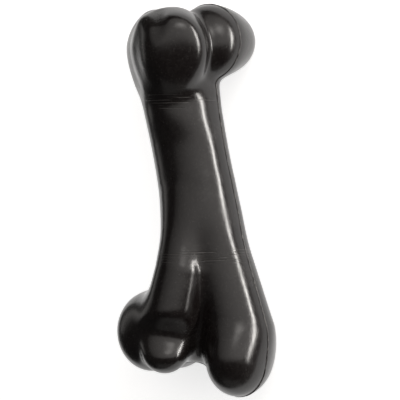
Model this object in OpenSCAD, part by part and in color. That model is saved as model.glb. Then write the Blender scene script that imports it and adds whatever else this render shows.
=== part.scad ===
// Rubber chew bone: two hollow half-shells and the gum strip that bonds them.
// Lengths are millimetres. X runs along the bone towards the head end, Y across it, and Z up.
// Named places are measured from the parting plane, near the middle of the bone, and the
// finished bone is then moved so that it stands on Z = 0 with its box centred on the axes.

/* [Shells] */
// Thickness of the rubber wall
wall = 9; // [4:0.5:14]
// Least distance kept open from the middle of the bone to the inside of the wall
core_clear = 6; // [3:0.5:10]

/* [Seam strip] */
// Thickness of the gum strip between the two rims
strip_thickness = 1.2; // [0.6:0.1:3]
// How far the trimmed edge of the strip stands out of the skin
strip_proud = 0.7; // [0.3:0.1:2]

/* [Shaft] */
// Distance from the middle to the head end of the shaft
shaft_head_x = 108; // [90:1:130]
// Distance from the middle to the foot end of the shaft
shaft_foot_x = 84; // [60:1:110]
// Half the width of the shaft at its waist
waist_half_width = 27.5; // [18:0.5:40]
// Depth of the shaft in front of the parting plane at its waist
waist_front_depth = 24; // [14:0.5:32]
// Depth of the shaft behind the parting plane at its waist
waist_back_depth = 21; // [14:0.5:32]
// Sideways offset of the shaft at its head end
shaft_sway = 22; // [0:0.5:40]

/* [Middle of each end] */
// Middle of the head end, from which its skin is measured
head_core = [92, 12, 0]; // [-130:0.5:130]
// Middle of the foot end, from which its skin is measured
foot_core = [-84, -2, 0]; // [-130:0.5:130]
// Angle by which the rows at each end lean towards the middle
end_lean = 20; // [0:1:40]

/* [Head end] */
// Side lobe end of the neck that joins the side lobe and the boss
neck_from = [103, 29, 8]; // [-150:0.5:150]
// Boss end of that neck
neck_to = [101.5, 7.5, 20.5]; // [-150:0.5:150]
// Radius of that neck at the side lobe
neck_start_radius = 18; // [5:0.5:40]
// Radius of that neck at the boss
neck_end_radius = 19.5; // [5:0.5:40]
// Fillet round that neck
neck_fillet = 8; // [1:0.5:30]
// Place of the side lobe
head_side_at = [102.5, 33.5, 2.5]; // [-150:0.5:150]
// Half length, half width and half depth of the side lobe
head_side_size = [28.5, 17, 20]; // [5:0.5:60]
// Fillet round the side lobe
head_side_fillet = 10; // [1:0.5:30]
// Place of the flat-faced boss on the front
boss_at = [101.5, 3, 23.7]; // [-150:0.5:150]
// Half length, half width and half depth of the boss
boss_size = [24.5, 18.5, 16.5]; // [5:0.5:60]
// How square the boss is in profile, where 2 is a plain egg
boss_squareness = 3.6; // [2:0.1:8]
// Angle by which the boss turns towards the side lobe
boss_turn = 30; // [-60:1:60]
// Angle by which the boss tips towards the foot end
boss_tip = 13; // [-45:1:45]
// Fillet round the boss
boss_fillet = 16; // [1:0.5:30]
// Place of the side lobe's swelling on the back
head_heel_at = [103, 28, -22]; // [-150:0.5:150]
// Half length, half width and half depth of that swelling
head_heel_size = [20, 19, 19]; // [5:0.5:60]
// Fillet round that swelling
head_heel_fillet = 7; // [1:0.5:30]
// Place of the knob
head_knob_at = [106.5, -6, 0]; // [-150:0.5:150]
// Half length, half width and half depth of the knob
head_knob_size = [25, 24, 18]; // [5:0.5:60]
// Fillet round the knob
head_knob_fillet = 5; // [1:0.5:30]
// Place of the knob's dome on the back
head_dome_at = [108.5, -7.5, -18]; // [-150:0.5:150]
// Half length, half width and half depth of the dome
head_dome_size = [21.5, 22, 23]; // [5:0.5:60]
// Fillet round the dome
head_dome_fillet = 15; // [1:0.5:30]

/* [Foot end] */
// Upper end of the limb on the side lobe's side
side_limb_from = [-2, 3.5, 9.5]; // [-150:0.5:150]
// Bend of that limb, from which it rises more gently
side_limb_bend = [-48, 3, 21]; // [-150:0.5:150]
// Lower end of that limb
side_limb_to = [-76, 8, 24]; // [-150:0.5:150]
// Radius of that limb at its upper end
side_limb_start_radius = 14; // [5:0.5:40]
// Radius of that limb at its bend
side_limb_bend_radius = 17; // [5:0.5:40]
// Radius of that limb at its lower end
side_limb_end_radius = 18.5; // [5:0.5:40]
// Fillet round that limb
side_limb_fillet = 9; // [1:0.5:30]
// Upper end of the limb on the knob's side
knob_limb_from = [8, -4, 1]; // [-150:0.5:150]
// Lower end of that limb
knob_limb_to = [-89, -27.5, -4]; // [-150:0.5:150]
// Radius of that limb at its upper end
knob_limb_start_radius = 17; // [5:0.5:40]
// Radius of that limb at its lower end
knob_limb_end_radius = 24.5; // [5:0.5:40]
// Fillet round that limb
knob_limb_fillet = 7; // [1:0.5:30]
// Place of the web between the two limbs
web_at = [-89.5, -2, -2]; // [-150:0.5:150]
// Half length, half width and half depth of the web
web_size = [21, 15, 16]; // [5:0.5:60]
// Fillet round the web
web_fillet = 8; // [1:0.5:30]
// Place of the side lobe
foot_side_at = [-89.5, 32.5, 8]; // [-150:0.5:150]
// Half length, half width and half depth of the side lobe
foot_side_size = [27.5, 24, 25]; // [5:0.5:60]
// Fillet round the side lobe
foot_side_fillet = 18; // [1:0.5:30]
// Place of the side lobe's swelling on the back
foot_heel_at = [-95, 27, -18]; // [-150:0.5:150]
// Half length, half width and half depth of that swelling
foot_heel_size = [21.5, 19.5, 21]; // [5:0.5:60]
// Fillet round that swelling
foot_heel_fillet = 14; // [1:0.5:30]
// Place of the knob
foot_knob_at = [-106.5, -30.5, 0]; // [-150:0.5:150]
// Half length, half width and half depth of the knob
foot_knob_size = [25.5, 20.5, 27.5]; // [5:0.5:60]
// Fillet round the knob
foot_knob_fillet = 8.5; // [1:0.5:30]
// Place of the knob's dome on the back
foot_dome_at = [-98.5, -22.5, -16]; // [-150:0.5:150]
// Half length, half width and half depth of the dome
foot_dome_size = [30, 22.5, 25]; // [5:0.5:60]
// Fillet round the dome
foot_dome_fillet = 8; // [1:0.5:30]
// Place of the root under the ball on the front
root_at = [-92, 14, 12]; // [-150:0.5:150]
// Half length, half width and half depth of the root
root_size = [18, 17, 18]; // [5:0.5:60]
// Fillet round the root
root_fillet = 8; // [1:0.5:30]
// Place of the ball on the front
foot_ball_at = [-101.5, 12.5, 25]; // [-150:0.5:150]
// Half length, half width and half depth of the ball
foot_ball_size = [15, 15.5, 15.5]; // [5:0.5:60]
// Fillet round the ball
foot_ball_fillet = 7; // [1:0.5:30]
// Side lobe end of the groove between the side limb's shoulder and the ball
shoulder_groove_from = [-88, 24, 54]; // [-150:0.5:150]
// Middle end of that groove
shoulder_groove_to = [-89, -13, 34]; // [-150:0.5:150]
// Radius of the round tool that leaves that groove
shoulder_groove_radius = 9.5; // [3:0.5:20]
// Fillet along the groove's edges
shoulder_groove_fillet = 5; // [1:0.5:12]

/* [Hidden] */
rubber = [0.06, 0.06, 0.065];
gum = [0.09, 0.09, 0.095];

// Shaft stations, evenly spaced from the head end to the foot end. Each row is a share of
// the sway, and of the waist's half width, front depth and back depth.
station_shares = [
    [0.92, 0.75, 0.80, 0.70],
    [0.80, 1.04, 1.08, 0.95],
    [0.56, 0.99, 1.17, 0.95],
    [0.345, 0.98, 1.02, 1.00],
    [0.12, 0.99, 1.00, 1.02],
    [-0.06, 1.00, 1.06, 1.04],
    [-0.13, 0.96, 0.92, 1.12],
    [-0.16, 0.95, 0.62, 1.10],
    [-0.16, 0.90, 0.30, 1.00],
];

// Each limb as its points, its radii at them and its fillet
limbs = [
    [[neck_from, neck_to], [neck_start_radius, neck_end_radius], neck_fillet],
    [[side_limb_from, side_limb_bend, side_limb_to],
        [side_limb_start_radius, side_limb_bend_radius, side_limb_end_radius], side_limb_fillet],
    [[knob_limb_from, knob_limb_to], [knob_limb_start_radius, knob_limb_end_radius], knob_limb_fillet],
];

// Each lobe as its place, its half sizes and its fillet, and for the boss its shape and angles
lobes = [
    [head_side_at, head_side_size, head_side_fillet],
    [boss_at, boss_size, boss_fillet, boss_squareness, boss_turn, boss_tip],
    [head_heel_at, head_heel_size, head_heel_fillet],
    [head_knob_at, head_knob_size, head_knob_fillet],
    [head_dome_at, head_dome_size, head_dome_fillet],
    [web_at, web_size, web_fillet],
    [foot_side_at, foot_side_size, foot_side_fillet],
    [foot_heel_at, foot_heel_size, foot_heel_fillet],
    [foot_knob_at, foot_knob_size, foot_knob_fillet],
    [foot_dome_at, foot_dome_size, foot_dome_fillet],
    [root_at, root_size, root_fillet],
    [foot_ball_at, foot_ball_size, foot_ball_fillet],
];

// Mesh counts: fan steps round each end, steps along the shaft and steps round one half
head_steps = 14;
shaft_steps = 38;
foot_steps = 18;
round_steps = 30;
nose_steps = 4;
rows = head_steps + shaft_steps + foot_steps;
half_rows = rows / 2;
half_round = round_steps / 2;
search_steps = 8;
reach = shaft_head_x;
least_slope = 0.4;

function clamped(v, low, high) = min(max(v, low), high);

// Two distances joined with a fillet k
function soft_min(a, b, k) = let (h = max(k - abs(a - b), 0)) min(a, b) - h * h / (4 * k);

// Distance from p to the skin of an egg with its middle at c and half sizes r
function egg_gap(p, c, r) = let (
    q = [(p.x - c.x) / r.x, (p.y - c.y) / r.y, (p.z - c.z) / r.z],
    near = norm(q),
    slope = norm([q.x / r.x, q.y / r.y, q.z / r.z])
) slope == 0 ? -min(r) : near * (near - 1) / slope;

// The same for a squarer lobe, turned about X and then tipped about Y
function boss_gap(p, c, r, n, turn, tip) = let (
    v = p - c,
    across = v.y * cos(turn) + v.z * sin(turn),
    up = v.z * cos(turn) - v.y * sin(turn),
    q = [(v.x * cos(tip) + up * sin(tip)) / r.x, across / r.y, (up * cos(tip) - v.x * sin(tip)) / r.z],
    plan = norm([q.x, q.y]),
    total = pow(plan, n) + pow(abs(q.z), n),
    grow = [pow(plan, n - 2) * q.x / r.x, pow(plan, n - 2) * q.y / r.y, pow(abs(q.z), n - 1) / r.z]
) total == 0 ? -min(r) : (pow(total, 1 / n) - 1) / (norm(grow) * pow(total, 1 / n - 1));

// Distance from p to the skin of a bar whose radius runs from r1 at a to r2 at b
function bar_gap(p, a, b, r1, r2) = let (
    run = b - a,
    t = clamped(((p - a) * run) / (run * run), 0, 1)
) norm(p - a - t * run) - (r1 + (r2 - r1) * t);

// The same for a limb of one or more bars, end to end
function limb_gap(p, at, r) = min([for (i = [1 : len(at) - 1]) bar_gap(p, at[i - 1], at[i], r[i - 1], r[i])]);

// Smooth curve through four evenly spaced values
function curve(t, a, b, c, d) =
    b + t * (c - a + t * (2 * a - 5 * b + 4 * c - d + t * (3 * (b - c) + d - a))) / 2;

function station(k) = station_shares[clamped(k, 0, len(station_shares) - 1)];

// Offset, half width, front depth and back depth of the shaft at a place along it
function shaft_at(x) = let (
    spaces = len(station_shares) - 1,
    u = clamped((shaft_head_x - x) / (shaft_head_x + shaft_foot_x), 0, 1) * spaces,
    k = min(floor(u), spaces - 1),
    v = curve(u - k, station(k - 1), station(k), station(k + 1), station(k + 2))
) [v[0] * shaft_sway, v[1] * waist_half_width, v[2] * waist_front_depth, v[3] * waist_back_depth];

function shaft_gap(p) = let (
    s = shaft_at(p.x),
    deep = p.z > 0 ? s[2] : s[3],
    q = [(p.y - s[0]) / s[1], p.z / deep],
    near = norm(q),
    slope = norm([q.x / s[1], q.y / deep]),
    side = slope == 0 ? -deep : near * (near - 1) / slope,
    end = max(p.x - shaft_head_x, -shaft_foot_x - p.x)
) min(max(side, end), 0) + norm([max(side, 0), max(end, 0)]);

function with_limbs(p, d, i = 0) = i == len(limbs) ? d : let (m = limbs[i])
    with_limbs(p, soft_min(d, limb_gap(p, m[0], m[1]), m[2]), i + 1);

function lobe_gap(p, m) = len(m) == 3 ? egg_gap(p, m[0], m[1]) : boss_gap(p, m[0], m[1], m[3], m[4], m[5]);
function with_lobes(p, d, i = 0) = i == len(lobes) ? d : let (m = lobes[i])
    with_lobes(p, soft_min(d, lobe_gap(p, m), m[2]), i + 1);

// Distance from p to the round tool of the shoulder groove
function groove_gap(p) = bar_gap(p, shoulder_groove_from, shoulder_groove_to,
    shoulder_groove_radius, shoulder_groove_radius);

// Distance from p to the bone's skin, negative inside
function skin_gap(p) = -soft_min(
    -with_lobes(p, with_limbs(p, shaft_gap(p))), groove_gap(p), shoulder_groove_fillet);

// Distance along a ray from its start to the skin, by false position
function skin_along(o, d, near, f_near, far, f_far, n) = let (
    s = (near * f_far - far * f_near) / (f_far - f_near),
    f = skin_gap(o + s * d)
) n == 0 ? s : f * f_far > 0
    ? skin_along(o, d, near, f_near / 2, s, f, n - 1)
    : skin_along(o, d, s, f, far, f_far / 2, n - 1);

// Where each row starts and how far it leans towards its end of the bone
function row_start(i) = i <= head_steps ? head_core : i >= rows - foot_steps ? foot_core
    : head_core + (foot_core - head_core) * (i - head_steps) / shaft_steps;
function row_lean(i) = i < head_steps ? 90 - (90 + end_lean) * i / head_steps
    : i > rows - foot_steps ? end_lean - (90 + end_lean) * (i - rows + foot_steps) / foot_steps
    : end_lean * (2 * (i - head_steps) / shaft_steps - 1);
function ray(i, j) = let (lean = row_lean(i), turn = 180 * j / round_steps)
    [sin(lean), cos(lean) * cos(turn), cos(lean) * sin(turn)];

function depth_along(o, d) = skin_along(o, d, 0, skin_gap(o), reach, skin_gap(o + reach * d), search_steps);

// One half of the skin as [distance, wall measured along the ray], side 1 in front, -1 behind
function half_grid(side) = [for (i = [0 : rows]) [for (j = [0 : round_steps]) let (
    o = row_start(i),
    r = ray(i, j),
    d = [r.x, r.y, side * r.z],
    s = depth_along(o, d),
    slope = (skin_gap(o + s * d) - skin_gap(o + (s - strip_proud) * d)) / strip_proud
) [s, max(s - wall / max(slope, least_slope), core_clear)]]];

function out_point(grid, side, i, j) = let (r = ray(i, j), s = grid[i][j][0])
    row_start(i) + s * [r.x, r.y, side * r.z];
// The inside keeps to the thickest wall among the neighbouring rays
function in_point(grid, side, i, j) = let (
    r = ray(i, j),
    s = min([for (a = [-1 : 1]) for (b = [-1 : 1])
        grid[clamped(i + a, 0, rows)][clamped(j + b, 0, round_steps)][1]])
) row_start(i) + s * [r.x, r.y, side * r.z];

front = half_grid(1);
back = half_grid(-1);

// Points of a half: head pole, rows, foot pole, all moved off the parting plane by half a strip
function outside(grid, side) = [for (i = [0 : rows]) for (j = [0 : i == 0 || i == rows ? 0 : round_steps])
    out_point(grid, side, i, j) + [0, 0, side * strip_thickness / 2]];
function inside(grid, side) = [for (i = [0 : half_rows]) for (j = [0 : i == 0 || i == half_rows ? 0 : half_round])
    in_point(grid, side, 2 * i, 2 * j) + [0, 0, side * strip_thickness / 2]];

// Number of a point in such a list of n rows and m steps
function at(i, j, n, m) = i == 0 ? 0 : i == n ? 1 + (n - 1) * (m + 1) : 1 + (i - 1) * (m + 1) + j;

function skin_faces(n, m) = [for (i = [0 : n - 1]) for (j = [0 : m - 1]) each concat(
    i == 0 ? [] : [[at(i, j, n, m), at(i, j + 1, n, m), at(i + 1, j, n, m)]],
    i == n - 1 ? [] : [[at(i, j + 1, n, m), at(i + 1, j + 1, n, m), at(i + 1, j, n, m)]])];

// Outline of the rim as point numbers, once round from the head pole
function rim(n, m) = [for (k = [0 : 2 * n - 1]) k <= n ? at(k, 0, n, m) : at(2 * n - k, m, n, m)];

// Flat ring between an outer outline and an inner one with half as many points
function ring_faces(outer, inner) = let (n = len(inner)) [for (k = [0 : n - 1]) let (
    a = outer[2 * k],
    b = outer[2 * k + 1],
    c = outer[(2 * k + 2) % len(outer)],
    p = inner[k],
    q = inner[(k + 1) % n]
) each [[a, b, p], [b, q, p], [b, c, q]]];

function shifted(faces, by) = [for (f = faces) [for (v = f) v + by]];
function turned(faces) = [for (f = faces) [for (k = [len(f) - 1 : -1 : 0]) f[k]]];

front_skin = outside(front, 1);
back_skin = outside(back, -1);
outline_rim = rim(rows, round_steps);
inner_rim = rim(half_rows, half_round);

// The outline on the parting plane, and the way out of the bone at each of its points
outline = [for (k = outline_rim) [front_skin[k].x, front_skin[k].y]];
inline = let (pts = inside(front, 1)) [for (k = inner_rim) [pts[k].x, pts[k].y]];
function way_out(k) = let (
    n = len(outline),
    t = outline[(k + 1) % n] - outline[(k + n - 1) % n]
) [t.y, -t.x] / norm(t);

// Points across the strip's rounded edge at outline point k, top to bottom
function nose(k) = [for (a = [0 : nose_steps]) let (
    turn = 180 * a / nose_steps,
    p = outline[k] + strip_proud * sin(turn) * way_out(k)
) [p.x, p.y, strip_thickness / 2 * cos(turn)]];
nose_points = [for (k = [0 : len(outline) - 1]) each nose(k)];

// Box round the whole bone, and the move that stands it on the ground
every_point = concat(front_skin, back_skin, nose_points);
every_x = [for (p = every_point) p.x];
every_y = [for (p = every_point) p.y];
every_z = [for (p = every_point) p.z];
stand = [-(min(every_x) + max(every_x)) / 2, -(min(every_y) + max(every_y)) / 2, -min(every_z)];

module half_shell(grid, skin, side) {
    hollow = inside(grid, side);
    faces = concat(
        skin_faces(rows, round_steps),
        shifted(turned(skin_faces(half_rows, half_round)), len(skin)),
        ring_faces(outline_rim, [for (k = inner_rim) k + len(skin)]));
    polyhedron(points = concat(skin, hollow), faces = side > 0 ? faces : turned(faces));
}

module upper_shell() {
    color(rubber) translate(stand) half_shell(front, front_skin, 1);
}

module lower_shell() {
    color(rubber) translate(stand) half_shell(back, back_skin, -1);
}

module seam_strip() {
    n = len(outline);
    m = nose_steps + 1;
    top = [for (p = inline) [p.x, p.y, strip_thickness / 2]];
    bottom = [for (p = inline) [p.x, p.y, -strip_thickness / 2]];
    first_in = n * m;
    top_in = [for (k = [0 : len(inline) - 1]) first_in + k];
    bottom_in = [for (k = top_in) k + len(inline)];
    edge = [for (k = [0 : n - 1]) for (a = [0 : nose_steps - 1]) let (
        q = (k + 1) % n
    ) each [[k * m + a, k * m + a + 1, q * m + a], [q * m + a, k * m + a + 1, q * m + a + 1]]];
    inner = [for (k = [0 : len(inline) - 1]) let (q = (k + 1) % len(inline))
        each [[top_in[k], top_in[q], bottom_in[k]], [top_in[q], bottom_in[q], bottom_in[k]]]];
    color(gum) translate(stand) polyhedron(
        points = concat(nose_points, top, bottom),
        faces = concat(
            turned(ring_faces([for (k = [0 : n - 1]) k * m], top_in)),
            ring_faces([for (k = [0 : n - 1]) k * m + nose_steps], bottom_in),
            turned(edge), turned(inner)));
}

upper_shell();
lower_shell();
seam_strip();
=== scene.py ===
"""Visual model of a moulded rubber chew bone: two glossy black half-shells and their raised seam.

Lengths inside the form classes are millimetres, measured from the parting plane near the middle
of the bone, as in the part's source. Meshes are handed to Blender in metres.
"""

import logging
import math
from dataclasses import dataclass, field
from enum import Enum

import bmesh
import bpy
import numpy as np
from mathutils import Matrix, Vector
from mathutils.geometry import tessellate_polygon


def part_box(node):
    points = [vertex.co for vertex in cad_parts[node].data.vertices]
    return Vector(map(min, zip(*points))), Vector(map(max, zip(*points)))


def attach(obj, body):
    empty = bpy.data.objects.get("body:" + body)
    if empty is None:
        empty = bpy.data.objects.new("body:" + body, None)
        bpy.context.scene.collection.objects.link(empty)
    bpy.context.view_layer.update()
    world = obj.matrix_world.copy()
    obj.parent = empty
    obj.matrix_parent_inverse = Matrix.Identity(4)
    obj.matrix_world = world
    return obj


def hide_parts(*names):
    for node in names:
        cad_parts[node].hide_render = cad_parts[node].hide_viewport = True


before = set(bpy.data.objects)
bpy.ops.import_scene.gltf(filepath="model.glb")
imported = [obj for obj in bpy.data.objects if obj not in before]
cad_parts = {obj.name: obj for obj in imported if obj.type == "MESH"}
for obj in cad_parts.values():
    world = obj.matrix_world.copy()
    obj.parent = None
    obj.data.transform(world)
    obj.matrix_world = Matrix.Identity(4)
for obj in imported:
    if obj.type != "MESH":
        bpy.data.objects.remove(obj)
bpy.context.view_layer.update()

log = logging.getLogger("chew_bone")
MM = 0.001
TINY = 1e-9
OFF_AXIS = 1e-6
SHARP_ANGLE = math.radians(50)
RUBBER_IOR = 1.52
# The colour sockets of Blender's mix node, which share their names with others.
BLEND_INPUTS = (6, 7)
BLEND_OUTPUT = 2
Point = tuple[float, float, float]
Pair = tuple[float, float]


class Half(Enum):
    """Which side of the parting plane a shell lies on; the value is the sign of Z."""

    UPPER = 1
    LOWER = -1


# The bone's form.


@dataclass(frozen=True)
class Egg:
    """A swelling of the bone, blended into what comes before it.

    A squareness of 2 is a plain ellipsoid; more gives it a flatter face and quicker edges.
    """

    at: Point
    size: Point
    fillet: float
    squareness: float = 2.0
    turn: float = 0.0
    tip: float = 0.0

    def own_axes(self) -> np.ndarray:
        """The swelling's own length, width and depth directions, one per row."""
        a, b = math.radians(self.turn), math.radians(self.tip)
        wide = np.array([0, math.cos(a), math.sin(a)])
        deep = np.array([0, -math.sin(a), math.cos(a)])
        long = np.array([1.0, 0, 0])
        ahead = long * math.cos(b) + deep * math.sin(b)
        out = deep * math.cos(b) - long * math.sin(b)
        return np.stack([ahead, wide, out])

    def gap(self, p: np.ndarray) -> np.ndarray:
        """Distance from points to this swelling's skin.

        Args:
            p: points, one per row.

        Returns:
            One signed distance per point, negative inside.
        """
        r = np.array(self.size)
        q = (p - np.array(self.at)) @ self.own_axes().T / r
        n = self.squareness
        if n == 2:
            near = np.sqrt((q * q).sum(-1))
            steep = np.sqrt(((q / r) ** 2).sum(-1))
            return near * (near - 1) / np.maximum(steep, TINY)
        plan = np.maximum(np.hypot(q[..., 0], q[..., 1]), OFF_AXIS)
        deep = np.maximum(np.abs(q[..., 2]), OFF_AXIS)
        total = plan ** n + deep ** n
        near = total ** (1 / n)
        flat = plan ** (n - 2)
        way = np.stack([flat * q[..., 0], flat * q[..., 1], deep ** (n - 1)], -1) / r
        slope = np.sqrt((way * way).sum(-1)) * total ** (1 / n - 1)
        return np.where(slope < TINY, -r.min(), (near - 1) / np.maximum(slope, TINY))


@dataclass(frozen=True)
class Limb:
    """Round bars end to end, with rounded ends, blended into what comes before them."""

    places: tuple[Point, ...]
    radii: tuple[float, ...]
    fillet: float

    def bar_gap(self, p: np.ndarray, n: int) -> np.ndarray:
        """Distance from points to one of the bars, the one that starts at place n."""
        a = np.array(self.places[n])
        run = np.array(self.places[n + 1]) - a
        t = np.clip((p - a) @ run / (run @ run), 0, 1)
        off = p - a - t[..., None] * run
        radius = self.radii[n] + (self.radii[n + 1] - self.radii[n]) * t
        return np.sqrt((off * off).sum(-1)) - radius

    def gap(self, p: np.ndarray) -> np.ndarray:
        """Distance from points to this limb's skin.

        Args:
            p: points, one per row.

        Returns:
            One signed distance per point, negative inside.
        """
        return np.minimum.reduce([self.bar_gap(p, n) for n in range(len(self.radii) - 1)])


@dataclass(frozen=True)
class Shaft:
    """The bone's shaft, oval in front and behind, whose section follows stations along X."""

    head_x: float = 108.0
    foot_x: float = 84.0
    sway: float = 22.0
    half_width: float = 27.5
    front_depth: float = 24.0
    back_depth: float = 21.0
    station_shares: tuple[tuple[float, float, float, float], ...] = (
        (0.92, 0.75, 0.80, 0.70),
        (0.80, 1.04, 1.08, 0.95),
        (0.56, 0.99, 1.17, 0.95),
        (0.345, 0.98, 1.02, 1.00),
        (0.12, 0.99, 1.00, 1.02),
        (-0.06, 1.00, 1.06, 1.04),
        (-0.13, 0.96, 0.92, 1.12),
        (-0.16, 0.95, 0.62, 1.10),
        (-0.16, 0.90, 0.30, 1.00),
    )

    def section(self, x: np.ndarray) -> np.ndarray:
        """Offset, half width, front depth and back depth at places along the shaft.

        Args:
            x: distances along the bone.

        Returns:
            One row of four values per place, on a smooth curve through the stations.
        """
        table = np.array(self.station_shares)
        last = len(table) - 1
        u = np.clip((self.head_x - x) / (self.head_x + self.foot_x), 0, 1) * last
        k = np.minimum(np.floor(u).astype(int), last - 1)
        t = (u - k)[..., None]
        a, b, c, d = (table[np.clip(k + n, 0, last)] for n in (-1, 0, 1, 2))
        share = b + t * (c - a + t * (2 * a - 5 * b + 4 * c - d + t * (3 * (b - c) + d - a))) / 2
        return share * np.array([self.sway, self.half_width, self.front_depth, self.back_depth])

    def gap(self, p: np.ndarray) -> np.ndarray:
        """Distance from points to the shaft's skin.

        Args:
            p: points, one per row.

        Returns:
            One signed distance per point, negative inside.
        """
        s = self.section(p[..., 0])
        deep = np.where(p[..., 2] > 0, s[..., 2], s[..., 3])
        qy, qz = (p[..., 1] - s[..., 0]) / s[..., 1], p[..., 2] / deep
        near = np.hypot(qy, qz)
        slope = np.hypot(qy / s[..., 1], qz / deep)
        side = np.where(slope < TINY, -deep, near * (near - 1) / np.maximum(slope, TINY))
        end = np.maximum(p[..., 0] - self.head_x, -self.foot_x - p[..., 0])
        outside = np.hypot(np.maximum(side, 0), np.maximum(end, 0))
        return np.minimum(np.maximum(side, end), 0) + outside


def soft_min(a: np.ndarray, b: np.ndarray, k: float) -> np.ndarray:
    """Two distances joined with a fillet.

    Args:
        a: first distances.
        b: second distances.
        k: how wide the fillet is.

    Returns:
        The joined distances.
    """
    h = np.maximum(k - np.abs(a - b), 0)
    return np.minimum(a, b) - h * h / (4 * k)


@dataclass(frozen=True)
class BoneForm:
    """The whole bone as one smooth skin: a shaft, limbs and swellings joined by fillets.

    The groove and the notch are taken out of it, and the core keeps the hollow open. The
    wobble is the height of the mould's waviness, made of long and short waves.
    """

    shaft: Shaft = Shaft()
    neck: Limb = Limb(((103, 29, 8), (101.5, 7.5, 20.5)), (18, 19.5), 8)
    side_limb: Limb = Limb(((-2, 3.5, 9.5), (-48, 3, 21), (-76, 8, 24)), (14, 17, 18.5), 9)
    knob_limb: Limb = Limb(((8, -4, 1), (-89, -27.5, -4)), (17, 24.5), 7)
    head_side: Egg = Egg((102.5, 33.5, 2.5), (28.5, 17, 20), 10)
    head_flank: Egg = Egg((99, 17.2, 25.9), (26, 14, 11.5), 14, squareness=3.6, turn=-33, tip=12)
    boss: Egg = Egg((101.5, 3, 23.7), (24.5, 18.5, 16.5), 16, squareness=3.6, turn=30, tip=18)
    head_heel: Egg = Egg((103, 28, -22), (20, 19, 19), 7)
    head_knob: Egg = Egg((106.5, -6, 0), (25, 24, 18), 5)
    head_dome: Egg = Egg((108.5, -7.5, -18), (21.5, 22, 23), 15)
    web: Egg = Egg((-89.5, -2, -2), (21, 15, 16), 8)
    foot_side: Egg = Egg((-89.5, 32.5, 8), (27.5, 24, 25), 18)
    foot_heel: Egg = Egg((-95, 27, -18), (21.5, 19.5, 21), 14)
    foot_knob: Egg = Egg((-106.5, -30.5, 0), (25.5, 20.5, 27.5), 8.5)
    foot_dome: Egg = Egg((-98.5, -22.5, -16), (30, 22.5, 25), 8)
    root: Egg = Egg((-92, 14, 12), (18, 17, 18), 8)
    foot_ball: Egg = Egg((-101.5, 12.5, 25), (15, 15.5, 15.5), 7)
    shoulder_groove: Limb = Limb(((-91, 24, 54), (-91.5, -13, 36)), (9.5, 9.5), 10)
    head_notch: Limb = Limb(
        ((131, 11.5, 37.5), (119.5, 4.8, 49.4), (110, 4.5, 54.5)), (5, 5, 5), 6)
    core: Limb = Limb(((92, 12, 0), (-80, -2, 0), (-81, 23, 3)), (6, 8, 7.5), 4)
    wobble: float = 0.05
    wave_shares: tuple[float, float] = (0.7, 0.3)
    long_waves: tuple[float, float, float, float] = (9.0, 7.0, 8.0, 11.0)
    long_wave_bend: float = 0.8
    short_waves: tuple[float, float, float, float] = (4.1, 5.3, 4.7, 8.9)

    def pieces(self) -> tuple[Limb | Egg, ...]:
        """The limbs and swellings, in the order in which they are joined on."""
        limbs = (self.neck, self.side_limb, self.knob_limb)
        head = (self.head_side, self.head_flank, self.boss,
                self.head_heel, self.head_knob, self.head_dome)
        foot = (self.web, self.foot_side, self.foot_heel,
                self.foot_knob, self.foot_dome, self.root, self.foot_ball)
        return limbs + head + foot

    def gap(self, p: np.ndarray) -> np.ndarray:
        """Distance from points to the bone's skin.

        Args:
            p: points, one per row.

        Returns:
            One signed distance per point, negative inside.
        """
        d = self.shaft.gap(p)
        for piece in self.pieces():
            d = soft_min(d, piece.gap(p), piece.fillet)
        for groove in (self.shoulder_groove, self.head_notch):
            d = -soft_min(-d, groove.gap(p), groove.fillet)
        return d - self.unevenness(p)

    def unevenness(self, p: np.ndarray) -> np.ndarray:
        """The faint hand-finished waviness of the mould.

        Args:
            p: points, one per row.

        Returns:
            How far the skin stands out at each point.
        """
        x, y, z = p[..., 0], p[..., 1], p[..., 2]
        a, b, c, d = self.long_waves
        long_wave = np.sin(x / a + self.long_wave_bend * np.sin(z / b)) * np.cos(y / c - z / d)
        a, b, c, d = self.short_waves
        short_wave = np.sin(x / a + y / b) * np.sin(z / c - x / d)
        long_share, short_share = self.wave_shares
        return self.wobble * (long_share * long_wave + short_share * short_wave)


# Skins: the bone's outer surface, and the lining of its hollow.


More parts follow.
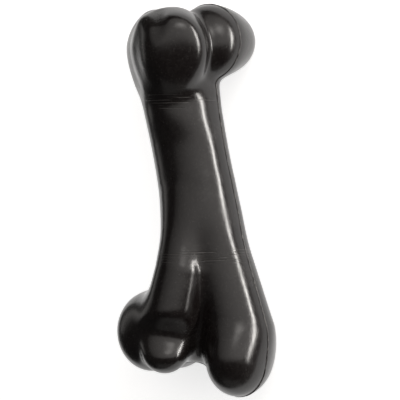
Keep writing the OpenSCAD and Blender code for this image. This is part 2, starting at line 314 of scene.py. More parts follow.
@dataclass
class Skin:
    """A closed surface of quads at one depth below the bone's skin.

    The net is evened out in rounds, each of which moves a vertex by a share of the way to the
    middle of its neighbours. Vertices nearer the parting plane than a share of a step are
    drawn on to it, so that a cut along the plane leaves no slivers.
    """

    form: BoneForm
    depth: float
    step: float
    reach_low: Point = (-136.0, -66.0, -46.0)
    reach_high: Point = (136.0, 66.0, 54.0)
    even_rounds: int = 3
    even_share: float = 0.5
    settle_rounds: int = 2
    least_steep: float = 0.05
    snap_share: float = 0.3
    cut_slack: float = 0.01
    points: np.ndarray = field(init=False)
    quads: np.ndarray = field(init=False)

    def __post_init__(self) -> None:
        """Builds the net, evens it out and settles it on the skin."""
        self.points, self.quads = self.net()
        for _ in range(self.even_rounds):
            self.points = self.settled(self.relaxed(self.points))

    def level(self, p: np.ndarray) -> np.ndarray:
        """Distance from points to this surface, negative inside.

        A lining keeps the hollow open along the form's core.

        Args:
            p: points, one per row.

        Returns:
            One signed distance per point.
        """
        level = self.form.gap(p) + self.depth
        if self.depth == 0:
            return level
        return soft_min(level, self.form.core.gap(p), self.form.core.fillet)

    def slope(self, p: np.ndarray, step: float = 0.05) -> np.ndarray:
        """Direction out of this surface, by differences.

        Args:
            p: points, one per row.
            step: half the difference.

        Returns:
            The gradient of the level, one row per point.
        """
        rises = [self.level(p + step * axis) - self.level(p - step * axis) for axis in np.eye(3)]
        return np.stack(rises, -1) / (2 * step)

    def net(self) -> tuple[np.ndarray, np.ndarray]:
        """Puts one vertex in every cell that the surface crosses.

        Returns:
            The vertices, and the quads that join them.
        """
        axes = [np.arange(lo, hi, self.step) for lo, hi in zip(self.reach_low, self.reach_high)]
        slices = (np.meshgrid([x], axes[1], axes[2], indexing="ij") for x in axes[0])
        value = np.stack([self.level(np.stack(places, -1))[0] for places in slices])
        inside = value < 0
        corner = [(i, j, k) for i in (0, 1) for j in (0, 1) for k in (0, 1)]
        shape = [n - 1 for n in value.shape]

        def part(grid: np.ndarray, c: tuple[int, int, int]) -> np.ndarray:
            """The grid as seen from one corner of every cell."""
            return grid[c[0]:c[0] + shape[0], c[1]:c[1] + shape[1], c[2]:c[2] + shape[2]]

        count = sum(part(inside, c).astype(int) for c in corner)
        cells = np.argwhere((count > 0) & (count < 8))
        total, hits = np.zeros((len(cells), 3)), np.zeros(len(cells))
        for a in corner:
            for b in corner:
                if sum(b) != sum(a) + 1 or any(bb < aa for aa, bb in zip(a, b)):
                    continue
                va = part(value, a)[tuple(cells.T)]
                vb = part(value, b)[tuple(cells.T)]
                crossed = (va < 0) != (vb < 0)
                t = np.where(crossed, va / np.where(crossed, va - vb, 1), 0)
                spot = np.array(a) + t[:, None] * (np.array(b) - np.array(a))
                total += spot * crossed[:, None]
                hits += crossed
        points = np.array([ax[0] for ax in axes]) + (cells + total / hits[:, None]) * self.step
        number = np.full(shape, -1)
        number[tuple(cells.T)] = np.arange(len(cells))
        quads = []
        for axis in range(3):
            u, v = [n for n in range(3) if n != axis]
            low = np.take(inside, range(0, inside.shape[axis] - 1), axis)
            high = np.take(inside, range(1, inside.shape[axis]), axis)
            spots = np.argwhere(low != high)
            spots = spots[(spots[:, u] > 0) & (spots[:, v] > 0)]
            going_out = low[tuple(spots.T)]
            ring = []
            for du, dv in ((-1, -1), (0, -1), (0, 0), (-1, 0)):
                at = spots.copy()
                at[:, u] += du
                at[:, v] += dv
                ring.append(number[tuple(at.T)])
            ring = np.stack(ring, -1)
            flip = going_out == (axis == 1)
            ring[flip] = ring[flip][:, ::-1]
            quads.append(ring)
        return points, np.concatenate(quads)

    def relaxed(self, points: np.ndarray) -> np.ndarray:
        """Moves each vertex towards the middle of its neighbours.

        Args:
            points: the vertices.

        Returns:
            The vertices, more evenly spaced.
        """
        total, count = np.zeros_like(points), np.zeros(len(points))
        for n in range(4):
            a, b = self.quads[:, n], self.quads[:, (n + 1) % 4]
            for axis in range(3):
                total[:, axis] += np.bincount(a, points[b, axis], len(points))
                total[:, axis] += np.bincount(b, points[a, axis], len(points))
            count += np.bincount(np.concatenate([a, b]), minlength=len(points))
        return (1 - self.even_share) * points + self.even_share * total / count[:, None]

    def settled(self, points: np.ndarray, flat: np.ndarray | None = None) -> np.ndarray:
        """Moves vertices along the slope on to the surface.

        Args:
            points: the vertices.
            flat: which of them keep their height.

        Returns:
            The vertices on the surface.
        """
        for _ in range(self.settle_rounds):
            way = self.slope(points)
            if flat is not None:
                way[flat, 2] = 0
            steep = np.maximum((way * way).sum(-1), self.least_steep)
            points = points - (self.level(points) / steep)[:, None] * way
        return points

    def snapped(self) -> np.ndarray:
        """The vertices, with those nearest the parting plane drawn on to it."""
        points = self.points.copy()
        flat = np.abs(points[:, 2]) < self.snap_share * self.step
        points[flat, 2] = 0
        points = self.settled(points, flat)
        points[flat, 2] = 0
        return points

    def cut(self, half: Half) -> "CutSkin":
        """Keeps the part of the surface on one side of the parting plane.

        Args:
            half: the side to keep.

        Returns:
            The cut surface and its outline.
        """
        bm = bmesh.new()
        verts = [bm.verts.new(p) for p in self.snapped()]
        for q in self.quads:
            bm.faces.new([verts[n] for n in q])
        bmesh.ops.bisect_plane(
            bm, geom=bm.verts[:] + bm.edges[:] + bm.faces[:], dist=self.cut_slack,
            plane_co=(0, 0, 0), plane_no=(0, 0, half.value), clear_inner=True)
        bm.verts.index_update()
        points = np.array([v.co[:] for v in bm.verts])
        faces = [[v.index for v in f.verts] for f in bm.faces]
        after: dict[int, list[int]] = {}
        for edge in bm.edges:
            if len(edge.link_faces) == 1:
                loop = edge.link_loops[0]
                after.setdefault(loop.vert.index, []).append(loop.link_loop_next.vert.index)
        bm.free()
        flat = np.zeros(len(points), bool)
        flat[list(after)] = True
        points[flat, 2] = 0
        points[flat] = self.settled(points[flat], np.ones(flat.sum(), bool))
        points[flat, 2] = 0
        return CutSkin(points, faces, closed_loops(after))


def closed_loops(after: dict[int, list[int]]) -> list[list[int]]:
    """Sorts the steps round a boundary into closed loops.

    Args:
        after: the numbers that follow each number; it is used up.

    Returns:
        The loops, the longest first.
    """
    loops = []
    while after:
        loop = [next(iter(after))]
        while True:
            step = after[loop[-1]].pop()
            if not after[loop[-1]]:
                del after[loop[-1]]
            if step == loop[0]:
                break
            loop.append(step)
        loops.append(loop)
    return sorted(loops, key=len, reverse=True)


@dataclass
class CutSkin:
    """One side of a skin, with the numbers of its outlines' points in order."""

    points: np.ndarray
    faces: list[list[int]]
    outlines: list[list[int]]

    def outline_points(self) -> list[np.ndarray]:
        """The outlines' places on the parting plane."""
        return [self.points[loop] for loop in self.outlines]


# Finishes, and the nodes that they are made of.


@dataclass(frozen=True)
class Cloud:
    """Cloudy noise, of so many clouds to a metre, alike in all directions or by axis.

    The detail is in octaves, and the roughness says how strong the fine ones are. Where the
    noise is used as a mask, the mask rises from 0 to 1 between start and full.
    """

    scale: float | Point
    detail: float
    roughness: float
    start: float = 0.0
    full: float = 1.0


@dataclass(frozen=True)
class RubberFinish:
    """Smooth moulded black rubber with the marks of the mould and of handling.

    A film and powder of dust lie on it, with brighter flecks, and scuffs run along the bone.
    Score lines go round the shaft in bands, a reach wide to each side of their places. A
    smudge of dust has a place on the bone and a reach.
    """

    name: str = "moulded_black_rubber"
    colour: Point = (0.0058, 0.0042, 0.0041)
    dust_colour: Point = (0.05, 0.047, 0.044)
    roughness: float = 0.19
    scuffed_roughness: float = 0.34
    film: Cloud = Cloud(38, 4, 0.55, start=0.45, full=0.75)
    powder: Cloud = Cloud(420, 4, 0.7, start=0.42, full=0.68)
    flecks: Cloud = Cloud(1100, 2, 0.6, start=0.64, full=0.72)
    scuffs: Cloud = Cloud((30, 420, 420), 3, 0.6, start=0.55, full=0.72)
    film_dust: float = 0.09
    fleck_dust: float = 0.6
    film_wear: float = 0.4
    scuff_wear: float = 0.3
    grain: Cloud = Cloud(900, 3, 0.6)
    grain_depth: float = 0.000014
    dimples: Cloud = Cloud(260, 2, 0.5)
    dimple_depth: float = 0.00005
    ring_places: tuple[float, ...] = (0.0655, -0.0375)
    ring_reach: float = 0.0055
    ring_fade: Pair = (0.7, 1.1)
    ring_pitch: float = 0.0017
    ring_line: Pair = (0.2, 1.0)
    ring_wander: Cloud = Cloud(35, 1, 0.5)
    ring_wander_reach: float = 0.003
    ring_breaks: Cloud = Cloud((500, 60, 60), 1, 0.5, start=0.44, full=0.58)
    ring_depth: float = 0.00009
    ring_dust: float = 0.55
    smudges: tuple[tuple[float, float, float, float], ...] = ((-0.1205, -0.0345, 0.0130, 0.0012),)

    def material(self) -> bpy.types.Material:
        """Builds the finish.

        Returns:
            The material, ready to assign.
        """
        nodes = Nodes(bpy.data.materials.new(self.name))
        place = nodes.add("ShaderNodeTexCoord").outputs["Object"]
        film = nodes.mask(place, self.film)
        powder = nodes.mask(place, self.powder)
        lines = self.rings(nodes, place)
        haze = nodes.math("MULTIPLY", nodes.math("ADD", film, powder), self.film_dust)
        flecks = nodes.math("MULTIPLY", nodes.mask(place, self.flecks), self.fleck_dust)
        dust = nodes.math("MAXIMUM", haze, flecks)
        dust = nodes.math("MAXIMUM", dust, nodes.math("MULTIPLY", lines, self.ring_dust))
        for *spot, reach in self.smudges:
            smudge = nodes.ramp(nodes.distance(place, spot), (0.0, 1.0), (reach, 0.0))
            dust = nodes.math("MAXIMUM", dust, smudge)
        colour = nodes.blend(dust, self.colour, self.dust_colour)
        rubbed = nodes.math("ADD", nodes.mask(place, self.scuffs), powder)
        rubbed = nodes.math("MULTIPLY", rubbed, self.scuff_wear)
        worn = nodes.math("ADD", nodes.math("MULTIPLY", film, self.film_wear), rubbed)
        gloss = nodes.between(worn, self.roughness, self.scuffed_roughness)
        grain = nodes.math("MULTIPLY", nodes.noise(place, self.grain), self.grain_depth)
        cuts = nodes.math("MULTIPLY", lines, -self.ring_depth)
        dimples = nodes.math("MULTIPLY", nodes.noise(place, self.dimples), self.dimple_depth)
        height = nodes.math("ADD", nodes.math("ADD", grain, cuts), dimples)
        nodes.surface(colour, gloss, nodes.bump(height))
        return nodes.owner

    def rings(self, nodes: "Nodes", place: bpy.types.NodeSocket) -> bpy.types.NodeSocket:
        """Fine score lines left round the shaft, one band at each ring place.

        Args:
            nodes: the material's nodes.
            place: coordinates on the object.

        Returns:
            How deep in a line each point lies, from 0 to 1.
        """
        split = nodes.add("ShaderNodeSeparateXYZ")
        nodes.link(place, split.inputs[0])
        x = split.outputs["X"]
        wander = nodes.noise(place, self.ring_wander)
        along = nodes.math("ADD", x, nodes.math("MULTIPLY", wander, self.ring_wander_reach))
        turns = nodes.math("MULTIPLY", along, 2 * math.pi / self.ring_pitch)
        line_start, line_full = self.ring_line
        line = nodes.ramp(nodes.math("SINE", turns), (line_start, 0.0), (line_full, 1.0))
        inner, outer = self.ring_fade
        near = None
        for ring_x in self.ring_places:
            far = nodes.math("ABSOLUTE", nodes.math("SUBTRACT", x, ring_x))
            far = nodes.math("DIVIDE", far, self.ring_reach)
            band = nodes.ramp(far, (inner, 1.0), (outer, 0.0))
            near = band if near is None else nodes.math("MAXIMUM", near, band)
        broken = nodes.mask(place, self.ring_breaks)
        return nodes.math("MULTIPLY", nodes.math("MULTIPLY", line, near), broken)


@dataclass(frozen=True)
class GumFinish:
    """The trimmed flash of the bonding strip, duller than the shells. Its colour is a little
    paler than theirs, a painted highlight along the seam bead, and paler still in flecks where it
    tore: torn gum that also stands in as painted glints.
    """

    name: str = "trimmed_gum"
    # Painted highlight: the strip's colour is paler than the shells' to stand for a bright line
    # along the bead.
    colour: Point = (0.016, 0.014, 0.014)
    # Painted glints: the paler colour of the torn flecks stands for bright glints along the seam.
    torn_glint_colour: Point = (0.11, 0.104, 0.098)
    roughness: float = 0.3
    torn_roughness: float = 0.5
    tear_glints: Cloud = Cloud(420, 4, 0.65, start=0.5, full=0.64)
    glint_share: float = 0.8
    grain: Cloud = Cloud(1300, 3, 0.7)
    grain_depth: float = 0.00008

    def material(self) -> bpy.types.Material:
        """Builds the finish.

        Returns:
            The material, ready to assign.
        """
        nodes = Nodes(bpy.data.materials.new(self.name))
        place = nodes.add("ShaderNodeTexCoord").outputs["Object"]
        tear_glint = nodes.mask(place, self.tear_glints)
        # Painted glints: the torn flecks are drawn paler, as glints on the bead, and rougher
        # where the gum tore.
        painted_glint = nodes.math("MULTIPLY", tear_glint, self.glint_share)
        colour = nodes.blend(painted_glint, self.colour, self.torn_glint_colour)
        gloss = nodes.between(tear_glint, self.roughness, self.torn_roughness)
        height = nodes.math("MULTIPLY", nodes.noise(place, self.grain), self.grain_depth)
        nodes.surface(colour, gloss, nodes.bump(height))
        return nodes.owner


class Nodes:
    """A node tree under construction: short names for the nodes that the finishes use."""

    def __init__(self, owner: bpy.types.Material | bpy.types.Light | bpy.types.World) -> None:
        """Starts an empty node tree.

        Args:
            owner: the material, lamp or world that it belongs to.
        """
        self.owner = owner
        owner.use_nodes = True
        self.tree = owner.node_tree
        self.tree.nodes.clear()
        self.link = self.tree.links.new

    def add(self, kind: str) -> bpy.types.Node:
        """Adds a node of a kind and returns it."""
        return self.tree.nodes.new(kind)

    def put(self, value: object, socket: bpy.types.NodeSocket) -> None:
        """Links a socket, or sets a plain value.

        Args:
            value: an output socket or a number.
            socket: the input that takes it.
        """
        if isinstance(value, bpy.types.NodeSocket):
            self.link(value, socket)
        else:
            socket.default_value = value

    def math(self, operation: str, a: object, b: object = 0.0) -> bpy.types.NodeSocket:
        """One sum.

        Args:
            operation: Blender's name for it.
            a: first value.
            b: second value.

        Returns:
            The result's socket.
        """
        node = self.add("ShaderNodeMath")
        node.operation = operation
        self.put(a, node.inputs[0])
        self.put(b, node.inputs[1])
        return node.outputs[0]

    def noise(self, place: bpy.types.NodeSocket, cloud: Cloud) -> bpy.types.NodeSocket:
        """Cloudy noise.

        Args:
            place: coordinates.
            cloud: what the noise is like.

        Returns:
            The noise's value, about 0 to 1.
        """
        scale = cloud.scale
        if isinstance(scale, tuple):
            place, scale = self.stretched(place, scale), 1.0
        node = self.add("ShaderNodeTexNoise")
        self.link(place, node.inputs["Vector"])
        node.inputs["Scale"].default_value = scale
        node.inputs["Detail"].default_value = cloud.detail
        node.inputs["Roughness"].default_value = cloud.roughness
        return node.outputs["Fac"]

    def mask(self, place: bpy.types.NodeSocket, cloud: Cloud) -> bpy.types.NodeSocket:
        """Where cloudy noise stands out, from 0 at its start to 1 where it is full."""
        return self.ramp(self.noise(place, cloud), (cloud.start, 0.0), (cloud.full, 1.0))

    def distance(self, place: bpy.types.NodeSocket, spot: list[float]) -> bpy.types.NodeSocket:
        """How far each point is from a spot.

        Args:
            place: coordinates.
            spot: the spot, in the same coordinates.

        Returns:
            The distance.
        """
        node = self.add("ShaderNodeVectorMath")
        node.operation = "DISTANCE"
        self.link(place, node.inputs[0])
        node.inputs[1].default_value = spot
        return node.outputs["Value"]

    def stretched(self, place: bpy.types.NodeSocket, scale: Point) -> bpy.types.NodeSocket:
        """Coordinates scaled by axis.

        Args:
            place: coordinates.
            scale: factor along each axis.

        Returns:
            The scaled coordinates.
        """
        node = self.add("ShaderNodeMapping")
        self.link(place, node.inputs["Vector"])
        node.inputs["Scale"].default_value = scale
        return node.outputs["Vector"]

    def ramp(self, value: bpy.types.NodeSocket, low: Pair, high: Pair) -> bpy.types.NodeSocket:
        """A smooth step between two values.

        Args:
            value: what is mapped.
            low: input and output at the low end.
            high: input and output at the high end.

        Returns:
            The mapped value.
        """
        node = self.add("ShaderNodeMapRange")
        node.interpolation_type = "SMOOTHSTEP"
        self.link(value, node.inputs["Value"])
        for name, number in zip(("From Min", "To Min", "From Max", "To Max"), (*low, *high)):
            node.inputs[name].default_value = number
        return node.outputs["Result"]

    def between(self, share: bpy.types.NodeSocket, low: float,
                high: float) -> bpy.types.NodeSocket:
        """A value between two ends, by share."""
        return self.math("ADD", self.math("MULTIPLY", share, high - low), low)

    def blend(self, share: bpy.types.NodeSocket, a: Point, b: Point) -> bpy.types.NodeSocket:
        """A colour between two colours.

        Args:
            share: how much of the second.
            a: first colour.
            b: second colour.

        Returns:
            The colour's socket.
        """
        node = self.add("ShaderNodeMix")
        node.data_type = "RGBA"
        self.link(share, node.inputs["Factor"])
        for socket, colour in zip(BLEND_INPUTS, (a, b)):
            node.inputs[socket].default_value = (*colour, 1)
        return node.outputs[BLEND_OUTPUT]

    def bump(self, height: bpy.types.NodeSocket) -> bpy.types.NodeSocket:
        """Relief from a height in metres."""
        node = self.add("ShaderNodeBump")
        node.inputs["Distance"].default_value = 1.0
        self.link(height, node.inputs["Height"])
        return node.outputs["Normal"]

    def surface(self, colour: bpy.types.NodeSocket, gloss: bpy.types.NodeSocket,
                normal: bpy.types.NodeSocket) -> None:
        """Ends the material in a rubber surface.

        Args:
            colour: base colour.
            gloss: roughness.
            normal: bumped normal.
        """
        shader = self.add("ShaderNodeBsdfPrincipled")
        shader.inputs["IOR"].default_value = RUBBER_IOR
        self.link(colour, shader.inputs["Base Color"])
        self.link(gloss, shader.inputs["Roughness"])
        self.link(normal, shader.inputs["Normal"])
        out = self.add("ShaderNodeOutputMaterial")
        self.link(shader.outputs[0], out.inputs[0])


# The bone's pieces.


@dataclass
class ChewBone:
    """The two bonded shells and the gum strip between them.

    The strip's edge was trimmed by hand, so that it stands proud by a share that wavers along
    the seam. Each wave of the trim has a height and four wave lengths, two along X and two
    along Y.
    """

    form: BoneForm = BoneForm()
    wall: float = 9.0
    strip_thickness: float = 1.2
    strip_proud: float = 0.7
    skin_step: float = 1.25
    lining_step: float = 2.5
    nose_steps: int = 8
    trim_level: float = 0.78
    trim_waves: tuple[tuple[float, float, float, float, float], ...] = (
        (0.16, 3.1, 2.3, 7.7, -5.1),
        (0.10, 1.1, 1.4, 13.0, 9.0),
    )
    trim_least: float = 0.4
    rubber: RubberFinish = RubberFinish()
    gum: GumFinish = GumFinish()
    shift: np.ndarray = field(init=False)

    def build(self) -> list[bpy.types.Object]:
        """Builds and dresses the three pieces.

        Returns:
            The pieces.
        """
        skin = Skin(self.form, 0.0, self.skin_step)
        lining = Skin(self.form, self.wall, self.lining_step)
        log.info("skin: %d quads, lining: %d quads", len(skin.quads), len(lining.quads))
        rubber = self.rubber.material()
        pieces = []
        for half in Half:
            outer, inner = skin.cut(half), lining.cut(half)
            if half is Half.UPPER:
                outer_line, inner_lines = outer.outline_points()[0], inner.outline_points()
                self.shift = self.standing(outer_line)
            name = f"{half.name.lower()}_rubber_shell"
            piece = self.shell(name, outer, inner, half)
            self.dress(piece, f"{half.name.lower()}_shell", rubber)
            pieces.append(piece)
        strip = self.strip("seam_gum_strip", outer_line, inner_lines)
        self.dress(strip, "seam_strip", self.gum.material())
        pieces.append(strip)
        return pieces

    def standing(self, outline: np.ndarray) -> np.ndarray:
        """The move that sets the bone where the frame's seam strip is.

        Args:
            outline: the skin's outline on the parting plane.

        Returns:
            The move, in millimetres.
        """
        low, high = (np.array(c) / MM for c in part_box("seam_strip"))
        middle = (outline.min(0) + outline.max(0)) / 2
        return (low + high) / 2 - middle

    def placed(self, points: np.ndarray) -> list[tuple[float, ...]]:
        """Local millimetres as metres in the frame."""
        return [tuple(p) for p in (points + self.shift) * MM]

    def shell(self, name: str, outer: CutSkin, inner: CutSkin,
              half: Half) -> bpy.types.Object:
        """One half-shell with its skin, its lining and the flat rim between them.

        Args:
            name: the piece's name.
            outer: the skin of this half.
            inner: the lining of this half.
            half: which half.

        Returns:
            The shell.
        """
        lift = np.array([0, 0, half.value * self.strip_thickness / 2])
        base = len(outer.points)
        points = np.concatenate([outer.points, inner.points]) + lift
        faces = list(outer.faces) + [[n + base for n in f[::-1]] for f in inner.faces]
        smooth = len(faces)
        rim = [outer.outlines[0], *([n + base for n in loop] for loop in inner.outlines)]
        faces += rim_faces(points, rim, -half.value)
        return mesh_object(name, self.placed(points), faces, smooth)

    def strip(self, name: str, outer: np.ndarray,
              holes: list[np.ndarray]) -> bpy.types.Object:
        """The gum strip, whose trimmed edge stands out of the skin as a rounded bead.

        Args:
            name: the piece's name.
            outer: the skin's outline.
            holes: the lining's outlines.

        Returns:
            The strip.
        """
        ahead, behind = np.roll(outer, -1, 0), np.roll(outer, 1, 0)
        run = ahead - behind
        out = np.stack([run[:, 1], -run[:, 0], np.zeros(len(run))], -1)
        out /= np.linalg.norm(out, axis=1)[:, None]
        if area_of(outer) < 0:
            out = -out
        proud = self.strip_proud * self.trim(outer)
        half_thick = self.strip_thickness / 2
        rings = []
        for n in range(self.nose_steps + 1):
            turn = math.pi * n / self.nose_steps
            lift = np.array([0, 0, half_thick * math.cos(turn)])
            rings.append(outer + out * (proud * math.sin(turn))[:, None] + lift)
        count = len(outer)
        faces = []
        for n in range(self.nose_steps):
            for k in range(count):
                q = (k + 1) % count
                face = [n * count + k, n * count + q, (n + 1) * count + q, (n + 1) * count + k]
                faces.append(face[::-1] if area_of(outer) > 0 else face)
        smooth = len(faces)
        upper = [list(range(count))]
        lower = [[self.nose_steps * count + n for n in range(count)]]
        first = len(rings) * count
        for hole in holes:
            rings += [hole + [0, 0, half_thick], hole - [0, 0, half_thick]]
            size = len(hole)
            for k in range(size):
                q = (k + 1) % size
                face = [first + k, first + q, first + size + q, first + size + k]
                faces.append(face if area_of(hole) > 0 else face[::-1])
            upper.append(list(range(first, first + size)))
            lower.append(list(range(first + size, first + 2 * size)))
            first += 2 * size
        points = np.concatenate(rings)
        faces += rim_faces(points, upper, 1) + rim_faces(points, lower, -1)
        return mesh_object(name, self.placed(points), faces, smooth)

    def trim(self, outline: np.ndarray) -> np.ndarray:
        """How far the knife left the bead standing, as a share of its full height.

        Args:
            outline: points along the seam.

        Returns:
            One share per point.
        """
        x, y = outline[:, 0], outline[:, 1]
        share = np.full(len(outline), self.trim_level)
        for height, a, b, c, d in self.trim_waves:
            share += height * np.sin(x / a + y / b) * np.sin(x / c + y / d)
        return np.clip(share, self.trim_least, 1.0)

    def dress(self, piece: bpy.types.Object, node: str,
              material: bpy.types.Material) -> None:
        """Gives a piece its material and its place in the frame.

        Args:
            piece: the piece.
            node: the CAD node that it stands for.
            material: its finish.
        """
        piece.data.materials.append(material)
        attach(piece, "root")
        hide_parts(node)
        log.info("%s: %d faces", piece.name, len(piece.data.polygons))


def area_of(outline: np.ndarray) -> float:
    """Signed area inside an outline on the parting plane."""
    x, y = outline[:, 0], outline[:, 1]
    return float((x * np.roll(y, -1) - np.roll(x, -1) * y).sum() / 2)


def rim_faces(points: np.ndarray, loops: list[list[int]], facing: int) -> list[list[int]]:
    """Flat faces between an outer loop and the hole inside it.

    Args:
        points: all the points.
        loops: the numbers of the outer loop's points, then of the inner one's.
        facing: 1 for faces that look up, -1 for down.

    Returns:
        The triangles, as point numbers.
    """
    flat = [n for loop in loops for n in loop]
    faces = []
    for tri in tessellate_polygon([[Vector(points[n]) for n in loop] for loop in loops]):
        face = [flat[n] for n in tri]
        turn = area_of(points[face])
        if turn == 0:
            continue
        faces.append(face if turn * facing > 0 else face[::-1])
    return faces


def mesh_object(name: str, points: list[tuple[float, ...]], faces: list[list[int]],
                smooth: int) -> bpy.types.Object:
    """A mesh object whose first faces are smooth and whose other faces are flat.

    Args:
        name: its name.
        points: vertices, in metres.
        faces: faces, as point numbers.
        smooth: how many of them, from the first, are smooth.

    Returns:
        The object, linked into the scene.
    """
    mesh = bpy.data.meshes.new(name)
    mesh.from_pydata(points, [], faces)
    shade = np.zeros(len(mesh.polygons), bool)
    shade[:smooth] = True
    mesh.polygons.foreach_set("use_smooth", shade)
    mesh.update()
    mesh.validate()
    mesh.set_sharp_from_angle(angle=SHARP_ANGLE)
    piece = bpy.data.objects.new(name, mesh)
    bpy.context.scene.collection.objects.link(piece)
    return piece


# The studio.


@dataclass(frozen=True)
class SoftBox:
    """A rectangular lamp, placed by where it stands as seen from the camera's side of the bone.

    Its light falls off towards its rims, over a share of its width and height, and can be
    dimmer at its left side, from which it brightens over a share of its width. One that
    doesn't shine leaves no highlight.
    """

    name: str
    azimuth: float
    elevation: float
    distance: float
    width: float
    height: float
    radiance: float
    left_share: float = 1.0
    rise_share: float = 1.0
    soft_share: Pair = (0.1, 0.1)
    shines: bool = True
    tint: Point = (1.0, 0.965, 0.93)

    def lamp(self) -> bpy.types.Object:
        """Builds the lamp, facing down its own Z axis.

        Returns:
            The lamp, not yet placed.
        """
        data = bpy.data.lights.new(self.name, "AREA")
        data.shape = "RECTANGLE"
        data.size, data.size_y = self.width, self.height
        data.energy = self.radiance * math.pi * self.width * self.height
        nodes = Nodes(data)
        split = nodes.add("ShaderNodeSeparateXYZ")
        nodes.link(nodes.add("ShaderNodeNewGeometry").outputs["Parametric"], split.inputs[0])
        level = nodes.ramp(split.outputs["X"], (0.0, self.left_share), (self.rise_share, 1.0))
        for share, place in zip(self.soft_share, split.outputs):
            for edge in (place, nodes.math("SUBTRACT", 1.0, place)):
                level = nodes.math("MULTIPLY", level, nodes.ramp(edge, (0.0, 0.0), (share, 1.0)))
        glow = nodes.add("ShaderNodeEmission")
        glow.inputs["Color"].default_value = (*self.tint, 1)
        nodes.link(level, glow.inputs["Strength"])
        out = nodes.add("ShaderNodeOutputLight")
        nodes.link(glow.outputs[0], out.inputs[0])
        lamp = bpy.data.objects.new(self.name, data)
        lamp.visible_camera = False
        lamp.visible_glossy = self.shines
        return lamp


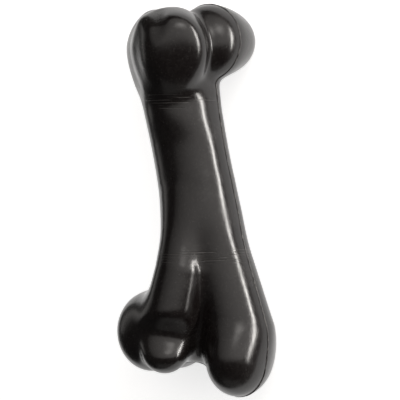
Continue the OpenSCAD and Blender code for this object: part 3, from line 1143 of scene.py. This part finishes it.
@dataclass
class Studio:
    """Camera, lamps, floor and surroundings."""

    turn: float = math.radians(30)
    distance: float = 1.3
    view_width: float = 0.272
    sensor: float = 36.0
    sheet_colour: Point = (0.86, 0.86, 0.86)
    sheet_glow: float = 0.72
    sheet_low: Pair = (-0.6, -0.155)
    sheet_high: Pair = (0.6, 0.207)
    table_colour: Point = (0.24, 0.24, 0.24)
    table_reach: float = 3.0
    table_drop: float = 0.002
    room_grey: float = 0.045
    clip: tuple[float, float] = (0.05, 50.0)
    boxes: tuple[SoftBox, ...] = (
        SoftBox("overhead_panel", azimuth=-6, elevation=36, distance=1.2, width=4.2, height=2.85,
                radiance=1.3, left_share=0.16, rise_share=0.82, soft_share=(0.1, 0.28)),
        SoftBox("high_window", azimuth=14, elevation=37, distance=1.2, width=0.9, height=0.75,
                radiance=3.2, soft_share=(0.5, 0.5)),
        SoftBox("side_strip", azimuth=60, elevation=15, distance=0.9, width=0.12, height=1.15,
                radiance=40.0, soft_share=(0.3, 0.45)),
        SoftBox("far_side_glow", azimuth=-118, elevation=9, distance=1.2, width=0.95, height=0.95,
                radiance=0.7, soft_share=(0.5, 0.2)),
        SoftBox("low_card", azimuth=0, elevation=-80, distance=0.9, width=1.2, height=0.6,
                radiance=0.2, soft_share=(0.3, 0.3)),
        SoftBox("fill", azimuth=0, elevation=10, distance=1.5, width=2.0, height=2.0,
                radiance=0.3, shines=False),
    )

    def axes(self) -> tuple[Vector, Vector, Vector]:
        """The camera's right, up and backward directions."""
        right = Vector((0, -math.cos(self.turn), -math.sin(self.turn)))
        up = Vector((1, 0, 0))
        back = Vector((0, -math.sin(self.turn), math.cos(self.turn)))
        return right, up, back

    def set_camera(self, target: Vector) -> None:
        """Puts the camera where the photograph was taken from.

        Args:
            target: the point in the middle of the view.
        """
        right, up, back = self.axes()
        data = bpy.data.cameras.new("photo_camera")
        data.sensor_width = self.sensor
        data.lens = self.sensor * self.distance / self.view_width
        data.clip_start, data.clip_end = self.clip
        camera = bpy.data.objects.new("photo_camera", data)
        turn = Matrix((right, up, back)).transposed()
        camera.matrix_world = Matrix.Translation(target + back * self.distance) @ turn.to_4x4()
        bpy.context.scene.collection.objects.link(camera)
        bpy.context.scene.camera = camera

    def hang_lamps(self, target: Vector) -> None:
        """Hangs the lamps round the bone.

        Args:
            target: the point that they look at.
        """
        right, up, back = self.axes()
        for box in self.boxes:
            az, el = math.radians(box.azimuth), math.radians(box.elevation)
            way = (right * math.sin(az) + back * math.cos(az)) * math.cos(el) + up * math.sin(el)
            side = up.cross(way).normalized()
            turn = Matrix((side, way.cross(side), way)).transposed().to_4x4()
            lamp = box.lamp()
            lamp.matrix_world = Matrix.Translation(target + way * box.distance) @ turn
            bpy.context.scene.collection.objects.link(lamp)

    def sheet_finish(self, name: str, colour: Point, glow: float) -> bpy.types.Material:
        """A matt sheet that the camera and the gloss see brighter than it is lit.

        Args:
            name: the material's name.
            colour: the sheet's colour.
            glow: how much brighter it is seen.

        Returns:
            The material.
        """
        nodes = Nodes(bpy.data.materials.new(name))
        diffuse = nodes.add("ShaderNodeBsdfDiffuse")
        diffuse.inputs["Color"].default_value = (*colour, 1)
        shine = nodes.add("ShaderNodeEmission")
        shine.inputs["Color"].default_value = (1, 1, 1, 1)
        rays = nodes.add("ShaderNodeLightPath").outputs
        mirrored = nodes.math("MAXIMUM", rays["Is Glossy Ray"], rays["Is Transmission Ray"])
        seen = nodes.math("MAXIMUM", rays["Is Camera Ray"], mirrored)
        nodes.link(nodes.math("MULTIPLY", seen, glow), shine.inputs["Strength"])
        both = nodes.add("ShaderNodeAddShader")
        nodes.link(diffuse.outputs[0], both.inputs[0])
        nodes.link(shine.outputs[0], both.inputs[1])
        nodes.link(both.outputs[0], nodes.add("ShaderNodeOutputMaterial").inputs[0])
        return nodes.owner

    def lay_sheet(self, name: str, low: Pair, high: Pair, height: float,
                  material: bpy.types.Material) -> None:
        """Lays a flat sheet under the bone.

        Args:
            name: its name.
            low: its lowest corner on the ground.
            high: its highest corner on the ground.
            height: how high it lies.
            material: its finish.
        """
        (x0, y0), (x1, y1) = low, high
        corners = [(x0, y0, height), (x1, y0, height), (x1, y1, height), (x0, y1, height)]
        mesh = bpy.data.meshes.new(name)
        mesh.from_pydata(corners, [], [tuple(range(len(corners)))])
        mesh.materials.append(material)
        sheet = bpy.data.objects.new(name, mesh)
        bpy.context.scene.collection.objects.link(sheet)

    def lay_floor(self) -> None:
        """Lays the white paper that the bone lies on, and the grey table under it.

        The paper ends just outside the view on both sides, so that the bone's rims mirror only
        a little of it.
        """
        paper = self.sheet_finish("white_paper", self.sheet_colour, self.sheet_glow)
        self.lay_sheet("paper", self.sheet_low, self.sheet_high, 0.0, paper)
        table = self.sheet_finish("grey_table", self.table_colour, 0.0)
        reach = self.table_reach
        self.lay_sheet("table", (-reach, -reach), (reach, reach), -self.table_drop, table)

    def set_world(self) -> None:
        """Surrounds the scene with dim grey."""
        world = bpy.data.worlds.new("studio")
        nodes = Nodes(world)
        room = nodes.add("ShaderNodeBackground")
        room.inputs["Color"].default_value = (*[self.room_grey] * 3, 1)
        nodes.link(room.outputs[0], nodes.add("ShaderNodeOutputWorld").inputs[0])
        bpy.context.scene.world = world


def main() -> None:
    """Builds the bone and its studio."""
    logging.basicConfig(level=logging.INFO, format="%(name)s: %(message)s")
    bpy.context.scene.view_settings.view_transform = "Standard"
    bone = ChewBone()
    pieces = bone.build()
    target = Vector(bone.shift * MM)
    studio = Studio()
    studio.set_camera(target)
    studio.hang_lamps(target)
    studio.lay_floor()
    studio.set_world()
    log.info("pieces: %s", ", ".join(p.name for p in pieces))


if __name__ == "__main__":
    main()
